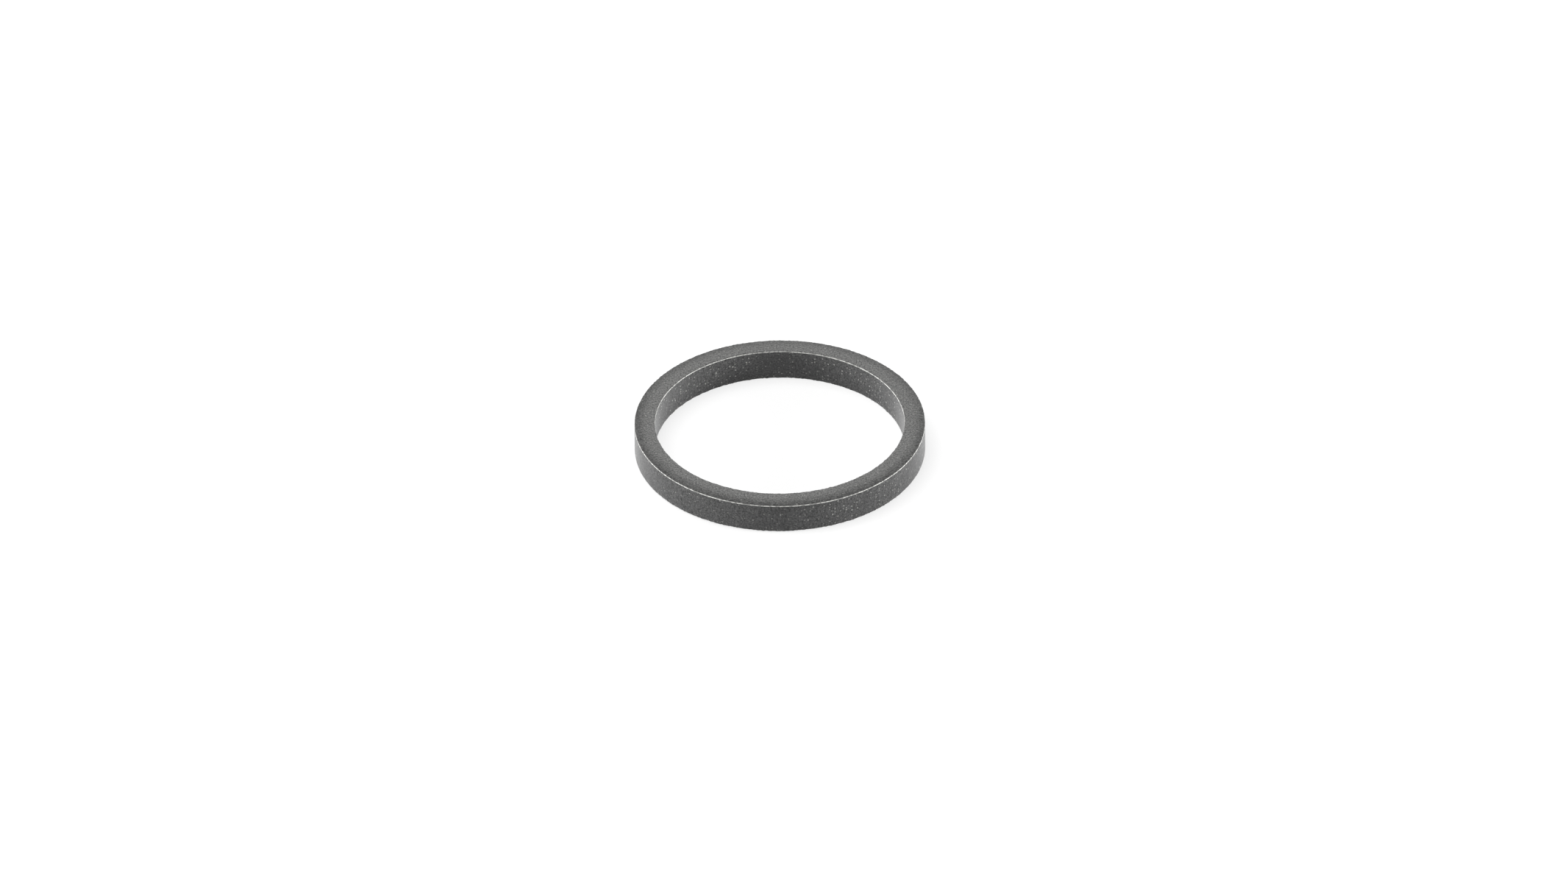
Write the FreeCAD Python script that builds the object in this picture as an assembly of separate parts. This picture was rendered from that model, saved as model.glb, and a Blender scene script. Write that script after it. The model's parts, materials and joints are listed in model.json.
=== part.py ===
import FreeCAD, Part
import math
import os

# A sealing ring, moulded in one piece. Its section is nearly a rectangle, taller
# than it is wide. Each face is a flat land beside the bore, and beyond it a rim
# that curves gently away to the outer wall. All four edges are slightly rounded.
#
# The ring lies flat: Z is its axis, pointing up, and the origin is the centre
# of the lower face. The section is drawn in the XZ plane and turned about Z.

# Driving dimensions, in millimetres. The section is section_width across, from
# the bore to the outside. The rim is rim_width of that, and falls by rim_fall.
bore_diameter = 30.0
section_width = 2.5
height = 4.0
rim_width = 1.4
rim_fall = 0.11
edge_radius = 0.18

# Radii and levels that follow from them.
bore_radius = bore_diameter / 2
outer_radius = bore_radius + section_width
land_end = outer_radius - rim_width
lower_face = 0.0
upper_face = lower_face + height

# The rim leaves the land as an arc, without a corner. If the outer edge were
# sharp, the arc would have moved rim_fall into the ring when it met the wall.
rim_arc_radius = (rim_width ** 2 + rim_fall ** 2) / (2 * rim_fall)

# The round on the outer edge touches that arc and the outer wall, so its centre
# lies edge_radius from both. Wall_start is how far the centre is from the level
# of the land. The straight stretch of the outer wall begins there too.
round_run = rim_width - edge_radius
round_reach = rim_arc_radius - edge_radius
wall_start = rim_arc_radius - math.sqrt(round_reach ** 2 - round_run ** 2)


def section_point(radius, level):
    """A point of the section, at a distance from the axis and a height."""
    return FreeCAD.Vector(radius, 0, level)


def straight(start, end):
    """A straight side of the section."""
    return Part.LineSegment(start, end).toShape()


def arc_about(centre, start, end):
    """The shorter arc from start to end about a centre."""
    to_middle = (start - centre) + (end - centre)
    to_middle.Length = (start - centre).Length
    return Part.Arc(start, centre + to_middle, end).toShape()


def face_outline(face_level, inward):
    """One face in section, from the bore wall to the outer wall.

    Inward is the direction, up or down, that leads from the face into the
    ring: -1 on the upper face and +1 on the lower.
    """
    bore_round_centre = section_point(bore_radius + edge_radius, face_level + inward * edge_radius)
    bore_wall_end = section_point(bore_radius, face_level + inward * edge_radius)
    land_from = section_point(bore_radius + edge_radius, face_level)
    land_to = section_point(land_end, face_level)
    rim_centre = section_point(land_end, face_level + inward * rim_arc_radius)
    outer_round_centre = section_point(outer_radius - edge_radius, face_level + inward * wall_start)
    rim_to = rim_centre + (outer_round_centre - rim_centre) * (rim_arc_radius / round_reach)
    outer_wall_end = section_point(outer_radius, face_level + inward * wall_start)
    return [
        arc_about(bore_round_centre, bore_wall_end, land_from),
        straight(land_from, land_to),
        arc_about(rim_centre, land_to, rim_to),
        arc_about(outer_round_centre, rim_to, outer_wall_end),
    ]


def ring_section():
    """The closed section: the bore wall, the upper face, the outer wall and the lower face."""
    bore_wall = straight(
        section_point(bore_radius, lower_face + edge_radius),
        section_point(bore_radius, upper_face - edge_radius),
    )
    outer_wall = straight(
        section_point(outer_radius, upper_face - wall_start),
        section_point(outer_radius, lower_face + wall_start),
    )
    upper = face_outline(upper_face, -1)
    lower = face_outline(lower_face, 1)
    lower.reverse()
    return Part.Face(Part.Wire([bore_wall] + upper + [outer_wall] + lower))


def sealing_ring():
    """The whole ring: its section turned once about the axis."""
    axis_point = FreeCAD.Vector(0, 0, 0)
    axis = FreeCAD.Vector(0, 0, 1)
    return ring_section().revolve(axis_point, axis, 360)


os.makedirs("parts", exist_ok=True)
ring = sealing_ring()
ring.exportStep("parts/sealing_ring.step")
bore_wall_height = height - 2 * edge_radius
outer_wall_height = height - 2 * wall_start
print("sealing_ring: volume", round(ring.Volume, 2), "mm3")
print("straight height of the bore wall", round(bore_wall_height, 3), "mm")
print("straight height of the outer wall", round(outer_wall_height, 3), "mm")
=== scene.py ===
# %% [markdown]
# A sealing ring, moulded in one piece, to all appearance from a dark filled
# rubber. In this lesson it is modelled as its section, which is spun about the
# axis. Then its edges get the slight raggedness of a trimmed moulding, and its
# surface the grain of a filled rubber.
#
# The ring's true size comes from a finished CAD model, which is loaded first.
# It stays where it is, and the new piece is made in its place.

# %% Load the frame
import json
import math

import bmesh
import bpy
from mathutils import Matrix, Vector


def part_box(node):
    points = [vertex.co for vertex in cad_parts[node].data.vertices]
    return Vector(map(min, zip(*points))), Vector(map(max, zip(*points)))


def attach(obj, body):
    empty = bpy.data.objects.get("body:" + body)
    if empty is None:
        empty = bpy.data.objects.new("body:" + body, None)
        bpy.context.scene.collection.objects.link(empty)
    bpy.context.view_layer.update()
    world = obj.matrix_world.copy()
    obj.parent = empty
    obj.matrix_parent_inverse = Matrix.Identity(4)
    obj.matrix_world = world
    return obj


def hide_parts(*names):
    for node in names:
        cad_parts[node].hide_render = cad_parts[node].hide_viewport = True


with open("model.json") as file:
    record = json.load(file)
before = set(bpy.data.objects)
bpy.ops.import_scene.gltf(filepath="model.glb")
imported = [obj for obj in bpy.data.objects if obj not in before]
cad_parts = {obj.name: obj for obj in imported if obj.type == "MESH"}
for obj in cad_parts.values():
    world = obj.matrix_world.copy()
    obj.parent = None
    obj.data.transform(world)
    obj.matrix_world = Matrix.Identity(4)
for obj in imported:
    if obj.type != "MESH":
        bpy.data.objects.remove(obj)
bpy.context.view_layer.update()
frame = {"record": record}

MM = 0.001
lowest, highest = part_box("sealing_ring")
outer_radius = highest.x
height = highest.z - lowest.z
mounts = {mount["name"]: mount for mount in frame["record"]["mounts"]}
bore_radius = mounts["bore"]["dims"]["r_mm"] * MM
section_width = outer_radius - bore_radius
print("outer radius", round(outer_radius / MM, 3), "mm")
print("bore radius", round(bore_radius / MM, 3), "mm")
print("height", round(height / MM, 3), "mm")

# %% [markdown]
# The camera first, so that every later step can be judged through it. The
# photograph was taken from far away: the ring's near and far sides show no
# perspective. A long lens at a long distance gives that look. The camera was
# rolled a little, so the picture's upright is turned by the same angle. The
# angles and the scale were fitted to the ring's outline in the photograph. With
# the Standard view transform, colours come out as they are written.

# %% Camera
image_width_px = 2132
ring_px_per_mm = 11.295
elevation = math.radians(34.75)
roll = math.radians(0.48)
camera_distance = 3.5
aim_height = 0.1 * outer_radius
ring_left_of_centre_px = 5.6
ring_above_centre_px = 6.0

forward = Vector((0, math.cos(elevation), -math.sin(elevation)))
level_right = Vector((1, 0, 0))
level_up = level_right.cross(forward)
camera_right = level_right * math.cos(roll) - level_up * math.sin(roll)
camera_up = level_right * math.sin(roll) + level_up * math.cos(roll)

m_per_px = MM / ring_px_per_mm
aim = Vector((0, 0, aim_height))
aim += camera_right * ring_left_of_centre_px * m_per_px
aim -= camera_up * ring_above_centre_px * m_per_px

camera_data = bpy.data.cameras.new("studio_camera")
camera_data.sensor_width = 36
camera_data.lens = camera_data.sensor_width * camera_distance / (image_width_px * m_per_px)
camera_data.clip_start = 0.1
camera_data.clip_end = 20
camera = bpy.data.objects.new("studio_camera", camera_data)
bpy.context.scene.collection.objects.link(camera)
turn = Matrix((camera_right, camera_up, -forward)).transposed()
camera.matrix_world = Matrix.Translation(aim - forward * camera_distance) @ turn.to_4x4()
bpy.context.scene.camera = camera
bpy.context.scene.view_settings.view_transform = "Standard"
print("lens", round(camera_data.lens), "mm")


# %% [markdown]
# Two helpers for materials. Colours are picked as sRGB hex values, as in any
# picture program, and Blender wants them linear. The other helper adds a node
# and fills its inputs in one call, each with a value or with another node's
# output, so that a material reads as a short list.

# %% Helpers for colours and nodes
def linear(hex_colour):
    """An sRGB hex colour, such as "7f7f7f", as linear RGBA."""
    channels = []
    for start in (0, 2, 4):
        value = int(hex_colour[start:start + 2], 16) / 255
        below_knee = value <= 0.04045
        channels.append(value / 12.92 if below_knee else ((value + 0.055) / 1.055) ** 2.4)
    return (*channels, 1)


def add_node(tree, kind, inputs=None, **settings):
    """Adds a node, sets its properties, and fills its inputs by value or link."""
    node = tree.nodes.new(kind)
    for name, value in settings.items():
        setattr(node, name, value)
    for name, value in (inputs or {}).items():
        if isinstance(value, bpy.types.NodeSocket):
            tree.links.new(value, node.inputs[name])
        else:
            node.inputs[name].default_value = value
    return node


print("7f7f7f in linear light:", round(linear("7f7f7f")[0], 3))

# %% [markdown]
# The ring lies on a plain white floor that has no visible end. The photograph
# is lit so brightly that the floor keeps only a breath of the ring's shadow. A
# floor of plain paint would show far too much of it. So what the camera sees is
# mostly a steady white, and only a quarter of it is paint that takes light.
# Gloss on the ring sees the same white. The light that bounces off the floor is
# that of a pale grey sheet.

# %% Floor
floor_half_width = 3.0
paint_share = 0.25
bpy.ops.object.select_all(action="DESELECT")
bpy.ops.mesh.primitive_plane_add(size=2 * floor_half_width, location=(0, 0, 0))
floor = bpy.context.object
floor.name = "floor"


def seen_directly(tree):
    """1 for what the camera, gloss and glass see, and 0 for light that only bounces."""
    ray = add_node(tree, "ShaderNodeLightPath").outputs
    seen = add_node(
        tree, "ShaderNodeMath", {0: ray["Is Camera Ray"], 1: ray["Is Glossy Ray"]}, operation="MAXIMUM",
    )
    seen = add_node(
        tree, "ShaderNodeMath", {0: seen.outputs[0], 1: ray["Is Transmission Ray"]}, operation="MAXIMUM",
    )
    return seen.outputs[0]


white_floor = bpy.data.materials.new("white_floor")
white_floor.use_nodes = True
tree = white_floor.node_tree
tree.nodes.clear()
paint = add_node(tree, "ShaderNodeBsdfDiffuse", {"Color": linear("ffffff")})
glow = add_node(tree, "ShaderNodeEmission", {"Color": linear("ffffff"), "Strength": 1.0})
white = add_node(tree, "ShaderNodeMixShader", {0: paint_share, 1: glow.outputs[0], 2: paint.outputs[0]})
sheet = add_node(tree, "ShaderNodeBsdfDiffuse", {"Color": linear("c0c0c0")})
shown = add_node(
    tree, "ShaderNodeMixShader", {0: seen_directly(tree), 1: sheet.outputs[0], 2: white.outputs[0]},
)
add_node(tree, "ShaderNodeOutputMaterial", {"Surface": shown.outputs[0]})
floor.data.materials.append(white_floor)
print("share of the floor that takes light:", paint_share)

# %% [markdown]
# The studio is a pale room all round, with soft lamps in it. The room lights
# the ring only dimly, but the camera and the ring's gloss see it as plain
# white. No real room does both. It is a trick that keeps the background white
# while the lamps shape the ring.

# %% Room light
room_strength = 0.22
world = bpy.data.worlds.new("studio_room")
bpy.context.scene.world = world
world.use_nodes = True
tree = world.node_tree
tree.nodes.clear()
room = add_node(tree, "ShaderNodeBackground", {"Color": linear("ffffff"), "Strength": room_strength})
backdrop = add_node(tree, "ShaderNodeBackground", {"Color": linear("ffffff"), "Strength": 1.0})
shown = add_node(
    tree, "ShaderNodeMixShader", {0: seen_directly(tree), 1: room.outputs[0], 2: backdrop.outputs[0]},
)
add_node(tree, "ShaderNodeOutputWorld", {"Surface": shown.outputs[0]})
print("room light:", room_strength)

# %% [markdown]
# Three softboxes. The main one hangs high above the ring, to the left and a
# little behind, so that the shadow falls to the right and the bore is shaded at
# its left. Two low ones at the sides brighten the walls where they turn away
# from the camera. All stand far off, so that the floor is lit evenly. Neither
# the camera nor the ring's gloss sees them, so the edges carry no glints.
#
# A softbox is a rectangular area lamp. An area lamp shines along its own -Z, so
# its Z is turned outwards, away from the ring.

# %% Softboxes
lamp_distance = 2.0


def add_softbox(name, azimuth, height_angle, width, depth, power):
    """A soft lamp, aimed at the ring. Azimuth 0 is the right and 90 the back, in degrees."""
    around = math.radians(azimuth)
    above = math.radians(height_angle)
    outward = Vector((
        math.cos(around) * math.cos(above),
        math.sin(around) * math.cos(above),
        math.sin(above),
    ))
    data = bpy.data.lights.new(name, "AREA")
    data.shape = "RECTANGLE"
    data.size = width
    data.size_y = depth
    data.energy = power
    lamp = bpy.data.objects.new(name, data)
    bpy.context.scene.collection.objects.link(lamp)
    lamp.location = outward * lamp_distance
    lamp.rotation_mode = "QUATERNION"
    lamp.rotation_quaternion = outward.to_track_quat("Z", "Y")
    lamp.visible_camera = False
    lamp.visible_glossy = False
    print(name, [round(side, 2) for side in lamp.location], power, "W")


add_softbox("top_softbox", azimuth=166, height_angle=71, width=1.6, depth=1.6, power=40)
add_softbox("left_softbox", azimuth=183, height_angle=9, width=0.8, depth=0.4, power=42)
add_softbox("right_softbox", azimuth=356, height_angle=9, width=0.8, depth=0.4, power=50)

# %% [markdown]
# The section. A maker draws it as a rectangle with rounded corners, and so does
# this cell: a plane stands where the section is, and its four corners are
# bevelled. Only its outline is spun later, so its face is deleted. Then the
# outline's sides are subdivided, because they will carry a fine relief.

# %% Section of the ring
edge_radius = 0.18 * MM
corner_segments = 6
wall_cuts = 9
face_cuts = 11
middle_radius = (bore_radius + outer_radius) / 2
middle_height = height / 2

bpy.ops.object.select_all(action="DESELECT")
bpy.ops.mesh.primitive_plane_add(
    size=1, location=(middle_radius, 0, middle_height), rotation=(math.radians(90), 0, 0),
)
ring = bpy.context.object
ring.name = "moulded_ring"
ring.scale = (section_width, height, 1)
bpy.ops.object.transform_apply(location=True, rotation=True, scale=True)

bpy.ops.object.mode_set(mode="EDIT")
bpy.ops.mesh.select_all(action="SELECT")
bpy.ops.mesh.bevel(affect="VERTICES", offset=edge_radius, segments=corner_segments, profile=0.5)
bpy.ops.mesh.select_all(action="SELECT")
bpy.ops.mesh.delete(type="ONLY_FACE")


def select_sides(direction):
    """Selects the outline's long straight sides that run along a direction."""
    bpy.ops.mesh.select_all(action="DESELECT")
    mesh = bmesh.from_edit_mesh(ring.data)
    for edge in mesh.edges:
        run = edge.verts[1].co - edge.verts[0].co
        edge.select_set(abs(run.dot(direction)) > 2 * edge_radius)
    bmesh.update_edit_mesh(ring.data)
    return sum(edge.select for edge in mesh.edges)


print("walls to divide:", select_sides(Vector((0, 0, 1))))
bpy.ops.mesh.subdivide(number_cuts=wall_cuts)
print("faces to divide:", select_sides(Vector((1, 0, 0))))
bpy.ops.mesh.subdivide(number_cuts=face_cuts)

# %% [markdown]
# The rim. The real ring's faces aren't flat all the way: near the outside they
# fall away a little. The lower face is hidden, but the outline suggests that it
# does the same. So each column of points beyond the flat land is pulled
# together towards the middle height, as far as an arc says that touches the
# land.

# %% Falling rim
rim_width = 1.4 * MM
rim_fall = 0.11 * MM
land_end = outer_radius - rim_width
rim_arc_radius = (rim_width ** 2 + rim_fall ** 2) / (2 * rim_fall)


def column(vertex):
    """The column of the outline that a point is in: its radius, free of rounding errors."""
    return round(vertex.co.x, 7)


outline = bmesh.from_edit_mesh(ring.data)
columns = sorted({column(vertex) for vertex in outline.verts})
rim_columns = [radius for radius in columns if radius > land_end]
for radius in rim_columns:
    outline = bmesh.from_edit_mesh(ring.data)
    bpy.ops.mesh.select_all(action="DESELECT")
    for vertex in outline.verts:
        vertex.select_set(column(vertex) == radius)
    fall = rim_arc_radius - math.sqrt(rim_arc_radius ** 2 - (radius - land_end) ** 2)
    pull = (middle_height - fall) / middle_height
    bpy.ops.transform.resize(value=(1, 1, pull), center_override=(0, 0, middle_height))
fall_at_outside = fall
print("columns pulled in:", len(rim_columns), "last fall", round(fall_at_outside / MM, 3), "mm")

# %% [markdown]
# One turn about the axis makes the ring. The steps are a tenth of a millimetre
# apart at the outside, fine enough for the ragged edges to come. So many steps
# in one spin take long, so the outline is spun to a short arc, and that arc is
# spun on as copies. The arcs meet in doubled seams, which are merged, and the
# faces are then turned outwards.

# %% Spin
arcs = 20
steps_per_arc = 55
merge_distance = 0.001 * MM
arc_angle = math.tau / arcs
bpy.ops.mesh.select_all(action="SELECT")
bpy.ops.mesh.spin(steps=steps_per_arc, angle=arc_angle, center=(0, 0, 0), axis=(0, 0, 1))
bpy.ops.mesh.select_all(action="SELECT")
bpy.ops.mesh.spin(
    steps=arcs - 1, angle=math.tau - arc_angle, dupli=True, center=(0, 0, 0), axis=(0, 0, 1),
)
bpy.ops.mesh.select_all(action="SELECT")
bpy.ops.mesh.remove_doubles(threshold=merge_distance)
bpy.ops.mesh.normals_make_consistent(inside=False)
bpy.ops.object.mode_set(mode="OBJECT")
bpy.ops.object.shade_smooth()
step = math.tau * outer_radius / (arcs * steps_per_arc)
print("faces:", len(ring.data.polygons), "step", round(step / MM, 3), "mm")

# %% [markdown]
# The surface changes its look from place to place, so the mesh carries a few
# numbers at each point, and the material reads them by name. Pressed_face is 1
# on the two faces and 0 on the walls, bore_side is 1 on the bore's wall, and
# rim_place grows from 0 at the end of the land to 1 at the outside. Above_wall
# says how many millimetres a point lies above the upper end of its wall.

# %% Numbers at the points
bore_wall_end = height - edge_radius
outer_wall_end = height - edge_radius - fall_at_outside


def measure_point(vertex):
    """The four numbers of one point, from its place and the way it faces."""
    radius = math.hypot(vertex.co.x, vertex.co.y)
    facing_out = (vertex.co.x * vertex.normal.x + vertex.co.y * vertex.normal.y) / radius
    wall_end = bore_wall_end if radius < middle_radius else outer_wall_end
    return {
        "pressed_face": abs(vertex.normal.z),
        "bore_side": max(0.0, -facing_out),
        "rim_place": min(1.0, max(0.0, (radius - land_end) / rim_width)),
        "above_wall": (vertex.co.z - wall_end) / MM,
    }


measured = [measure_point(vertex) for vertex in ring.data.vertices]
for name in measured[0]:
    values = [numbers[name] for numbers in measured]
    attribute = ring.data.attributes.new(name, "FLOAT", "POINT")
    attribute.data.foreach_set("value", values)
    print(name, "from", round(min(values), 3), "to", round(max(values), 3))

# %% [markdown]
# A ring that leaves its mould has its flash torn or tumbled off, and its edges
# stay slightly ragged. A Displace modifier with a cloudy texture does that: it
# moves the rounded edges in and out by a few hundredths of a millimetre. Its
# vertex group is full in the middle of each round, where the surface faces
# halfway up or down, and leaves the walls and the faces alone.
#
# A second Displace gives the whole surface the slight unevenness of moulded
# rubber. The middle level of each, which is the grey that moves nothing, is
# chosen so that no point leaves the ring's true size.

# %% Ragged edges and uneven surface
edge_group = ring.vertex_groups.new(name="edges")
for vertex in ring.data.vertices:
    facing_up = abs(vertex.normal.z)
    tilt = 4 * facing_up ** 2 * (1 - facing_up ** 2)
    edge_group.add([vertex.index], tilt ** 2, "REPLACE")


def add_relief(name, lump_size, depth, middle, group=""):
    """Displaces the ring by a cloudy relief, and applies the modifier."""
    clouds = bpy.data.textures.new(name, "CLOUDS")
    clouds.noise_scale = lump_size
    clouds.noise_depth = 2
    displace = ring.modifiers.new(name, "DISPLACE")
    displace.texture = clouds
    displace.texture_coords = "LOCAL"
    displace.strength = depth
    displace.mid_level = middle
    displace.vertex_group = group
    bpy.context.view_layer.objects.active = ring
    bpy.ops.object.modifier_apply(modifier=name)


add_relief("uneven_surface", lump_size=1.5 * MM, depth=0.02 * MM, middle=0.85)
add_relief("ragged_edges", lump_size=0.3 * MM, depth=0.12 * MM, middle=0.4, group="edges")
print("sides after the relief:", [round(side / MM, 3) for side in ring.dimensions], "mm")

# %% [markdown]
# The material is taken to be a filled rubber, moulded and not polished. Soot
# makes such rubber nearly black, and filler and release powder turn that to a
# dark grey. It has no clear shine, but it brightens where it is seen at a
# glancing angle. The faces are painted paler than the walls, as painted light
# for the stronger light that falls on them from above, and towards the outside
# they are painted darker, as painted shade where the rim falls away.
# The two greys and the darkening were matched to the photograph.

# %% Filled rubber: the ground
# Painted light: the faces' grey is paler for the light from above, and the walls' darker grey is painted
# shade.
shaded_wall_grey = "464646"
lit_face_grey = "5a5a59"
rim_darkest = 0.38
rim_darkest_at = 0.95

rubber = bpy.data.materials.new("filled_rubber")
rubber.use_nodes = True
tree = rubber.node_tree
tree.nodes.clear()
place = add_node(tree, "ShaderNodeTexCoord").outputs["Object"]
at_point = {
    name: add_node(tree, "ShaderNodeAttribute", attribute_name=name).outputs["Fac"]
    for name in measured[0]
}

# A Mix node for colours has its factor at input 0, its colours at 6 and 7, and
# the mixed colour at output 2.
# Painted light: the faces get the paler grey, and the walls the darker one as painted shade.
ground = add_node(
    tree, "ShaderNodeMix",
    {0: at_point["pressed_face"], 6: linear(shaded_wall_grey), 7: linear(lit_face_grey)}, data_type="RGBA",
)
# Painted shade: the faces grow darker towards the outside, where the rim falls away from the light above.
rim_shade = add_node(
    tree, "ShaderNodeMapRange",
    {
        "Value": at_point["rim_place"],
        "From Min": 0.0, "From Max": rim_darkest_at, "To Min": 1.0, "To Max": rim_darkest,
    },
)
rimmed = add_node(
    tree, "ShaderNodeMix",
    {0: at_point["pressed_face"], 6: ground.outputs[2], 7: rim_shade.outputs["Result"]},
    data_type="RGBA", blend_type="MULTIPLY",
)
print("ground: faces", lit_face_grey, "walls", shaded_wall_grey)

# %% [markdown]
# Two noises make the ground uneven: soft patches a few millimetres across, and
# the grain of the filler. Real filler is far too fine to show from here, so the
# grain is drawn at 0.2 mm, about as coarse as the photograph's texture. A noise
# keeps mostly between 0.3 and 0.7, and that range is stretched.

# %% Filled rubber: patches and grain
patch_size = 2.5 * MM
patch_contrast = 0.06
grain_size = 0.2 * MM
grain_contrast = 0.7
noise_low = 0.3
noise_high = 0.7

patches = add_node(tree, "ShaderNodeTexNoise", {"Vector": place, "Scale": 1 / patch_size, "Detail": 2.0})
patch_tone = add_node(
    tree, "ShaderNodeMapRange",
    {
        "Value": patches.outputs["Fac"], "From Min": noise_low, "From Max": noise_high,
        "To Min": 1 - patch_contrast, "To Max": 1 + patch_contrast,
    },
)
grains = add_node(tree, "ShaderNodeTexNoise", {"Vector": place, "Scale": 1 / grain_size, "Detail": 2.0})
grain_tone = add_node(
    tree, "ShaderNodeMapRange",
    {
        "Value": grains.outputs["Fac"], "From Min": noise_low, "From Max": noise_high,
        "To Min": 1 - grain_contrast, "To Max": 1 + grain_contrast,
    },
)
tone = add_node(
    tree, "ShaderNodeMath",
    {0: patch_tone.outputs["Result"], 1: grain_tone.outputs["Result"]}, operation="MULTIPLY",
)
toned = add_node(
    tree, "ShaderNodeMix", {0: 1.0, 6: rimmed.outputs[2], 7: tone.outputs[0]},
    data_type="RGBA", blend_type="MULTIPLY",
)
print("grain", round(grain_size / MM, 2), "mm, patches", round(patch_size / MM, 2), "mm")

# %% [markdown]
# Pale specks stand out: partly filler, and partly painted glints, where tiny
# bumps catch the light. A Voronoi texture has one cell for each speck: the
# distance from the cell's point makes a round dot, and the cell's own random
# colour says how pale it is. That number is raised to a power, which leaves a
# few bright specks among many faint ones. Real specks may be finer than these
# dots of about 0.15 mm.

# %% Filled rubber: single specks
speck_cell = 0.33 * MM
dot_edge = 0.38
dot_core = 0.12
empty_cells = 0.3
rarity_of_bright = 1.7

cells = add_node(tree, "ShaderNodeTexVoronoi", {"Vector": place, "Scale": 1 / speck_cell})
dot = add_node(
    tree, "ShaderNodeMapRange",
    {
        "Value": cells.outputs["Distance"],
        "From Min": dot_edge, "From Max": dot_core, "To Min": 0.0, "To Max": 1.0,
    },
    interpolation_type="SMOOTHSTEP",
)
luck = add_node(tree, "ShaderNodeSeparateColor", {"Color": cells.outputs["Color"]})
paleness = add_node(
    tree, "ShaderNodeMapRange",
    {
        "Value": luck.outputs["Red"],
        "From Min": empty_cells, "From Max": 1.0, "To Min": 0.0, "To Max": 1.0,
    },
)
few_bright = add_node(
    tree, "ShaderNodeMath", {0: paleness.outputs["Result"], 1: rarity_of_bright}, operation="POWER",
)
print("speck cells", round(speck_cell / MM, 2), "mm")

# %% [markdown]
# The specks lie thickest on the walls, and more in the bore than outside. In
# the bore, where less light falls, they are painted stronger, as painted glints
# that stay bright in the shade. A noise with large lumps gathers them in
# swarms. Each of these is a share between 0 and 1, and all shares are
# multiplied to the speck's strength.

# %% Filled rubber: where the specks lie
speck_and_glint_grey = "bebeb9"
swarm_size = 6 * MM
swarm_thins_at = 0.35
swarm_full_at = 0.62
between_swarms = 0.5
on_faces = 0.45
on_outer_wall = 0.7

swarms = add_node(tree, "ShaderNodeTexNoise", {"Vector": place, "Scale": 1 / swarm_size, "Detail": 1.0})
swarm = add_node(
    tree, "ShaderNodeMapRange",
    {
        "Value": swarms.outputs["Fac"], "From Min": swarm_thins_at, "From Max": swarm_full_at,
        "To Min": between_swarms, "To Max": 1.0,
    },
    interpolation_type="SMOOTHSTEP",
)
off_faces = add_node(
    tree, "ShaderNodeMapRange",
    {
        "Value": at_point["pressed_face"],
        "From Min": 0.0, "From Max": 1.0, "To Min": 1.0, "To Max": on_faces,
    },
)
# Painted glints: the specks are stronger in the bore, where less light falls.
in_bore = add_node(
    tree, "ShaderNodeMapRange",
    {
        "Value": at_point["bore_side"],
        "From Min": 0.0, "From Max": 1.0, "To Min": on_outer_wall, "To Max": 1.0,
    },
)
strength = dot.outputs["Result"]
for share in (few_bright, swarm, off_faces, in_bore):
    strength = add_node(
        tree, "ShaderNodeMath", {0: strength, 1: share.outputs[0]}, operation="MULTIPLY",
    ).outputs[0]
# Mixes in the specks, partly filler and partly painted glints.
specked = add_node(
    tree, "ShaderNodeMix", {0: strength, 6: toned.outputs[2], 7: linear(speck_and_glint_grey)}, data_type="RGBA",
)
print("swarms", round(swarm_size / MM, 2), "mm")

# %% [markdown]
# Where a wall ends at the upper face, a fine pale line is painted: a painted
# highlight, where the rounded upper edge catches the light from above. The
# lower edges get no light from above and show none. The line is a narrow band
# of the above_wall number, in millimetres: it fades in just before the wall
# ends and out again on the rounded edge. A noise breaks it into beads.

# %% Filled rubber: the painted highlight on the upper edges
painted_highlight_grey = "dadad6"
line_begins = -0.04
line_full_from = 0.01
line_full_to = 0.06
line_ends = 0.13

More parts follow.
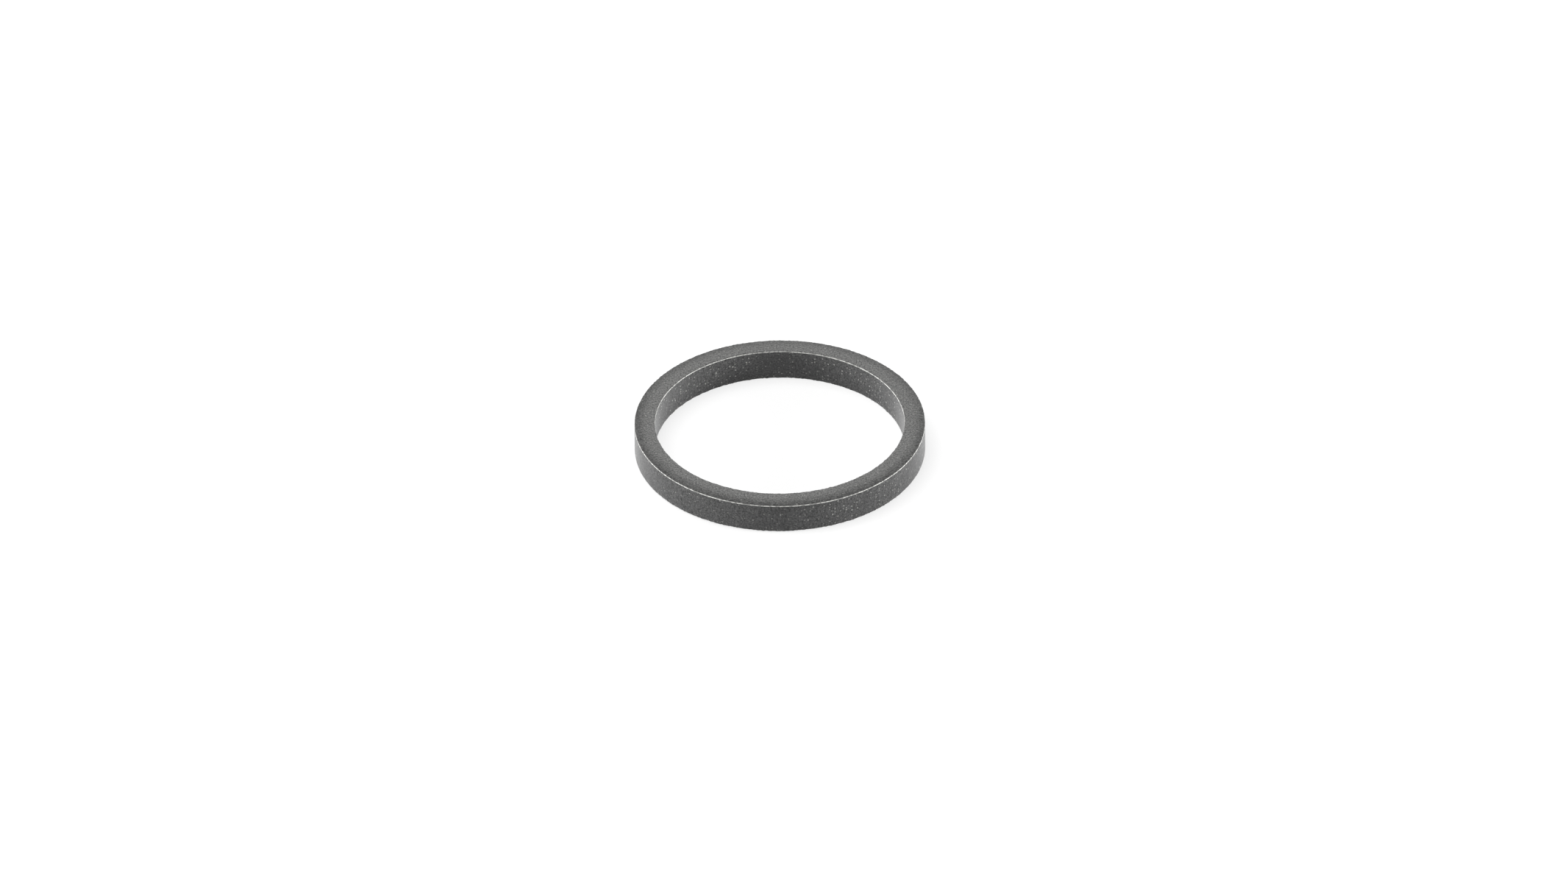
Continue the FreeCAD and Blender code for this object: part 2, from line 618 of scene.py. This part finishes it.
# Painted highlight: a pale band where the rounded upper edge catches the light.
line_in = add_node(
    tree, "ShaderNodeMapRange",
    {
        "Value": at_point["above_wall"],
        "From Min": line_begins, "From Max": line_full_from, "To Min": 0.0, "To Max": 1.0,
    },
    interpolation_type="SMOOTHSTEP",
)
line_out = add_node(
    tree, "ShaderNodeMapRange",
    {
        "Value": at_point["above_wall"],
        "From Min": line_full_to, "From Max": line_ends, "To Min": 1.0, "To Max": 0.0,
    },
    interpolation_type="SMOOTHSTEP",
)

bead_size = 0.35 * MM
bead_thins_at = 0.38
bead_full_at = 0.58
between_beads = 0.4
bead_noise = add_node(tree, "ShaderNodeTexNoise", {"Vector": place, "Scale": 1 / bead_size, "Detail": 1.0})
beads = add_node(
    tree, "ShaderNodeMapRange",
    {
        "Value": bead_noise.outputs["Fac"], "From Min": bead_thins_at, "From Max": bead_full_at,
        "To Min": between_beads, "To Max": 1.0,
    },
    interpolation_type="SMOOTHSTEP",
)
strength = beads.outputs["Result"]
for share in (line_in, line_out):
    strength = add_node(
        tree, "ShaderNodeMath", {0: strength, 1: share.outputs["Result"]}, operation="MULTIPLY",
    ).outputs[0]
# Mixes in the painted highlight on the upper edges.
lined = add_node(
    tree, "ShaderNodeMix", {0: strength, 6: specked.outputs[2], 7: linear(painted_highlight_grey)}, data_type="RGBA",
)
print("line from", line_begins, "to", line_ends, "mm above the wall")
print("beads", round(bead_size / MM, 2), "mm")

# %% [markdown]
# The shader itself. Rubber has an index of refraction near 1.5, and matt rubber
# a roughness of 0.5 or more. Both were lowered while the ring's greys were
# matched to the photograph. The gloss sees only plain white in this studio, so
# it shows no highlight. Under other lamps a roughness as low as this may look
# shinier than the real ring. The grain also lifts the surface a little, which a
# Bump node shows.

# %% Filled rubber: the surface
grain_height = 0.02 * MM
relief = add_node(
    tree, "ShaderNodeBump", {"Height": grains.outputs["Fac"], "Strength": 0.5, "Distance": grain_height},
)
surface = add_node(
    tree, "ShaderNodeBsdfPrincipled",
    {"Base Color": lined.outputs[2], "Normal": relief.outputs["Normal"], "Roughness": 0.28, "IOR": 1.42},
)
add_node(tree, "ShaderNodeOutputMaterial", {"Surface": surface.outputs["BSDF"]})
ring.data.materials.append(rubber)
print("nodes in the rubber:", len(tree.nodes))

# %% [markdown]
# The modelled ring takes the place of the plain one from the CAD model, and
# moves with it if that is ever moved.

# %% Hand over
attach(ring, "root")
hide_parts("sealing_ring")
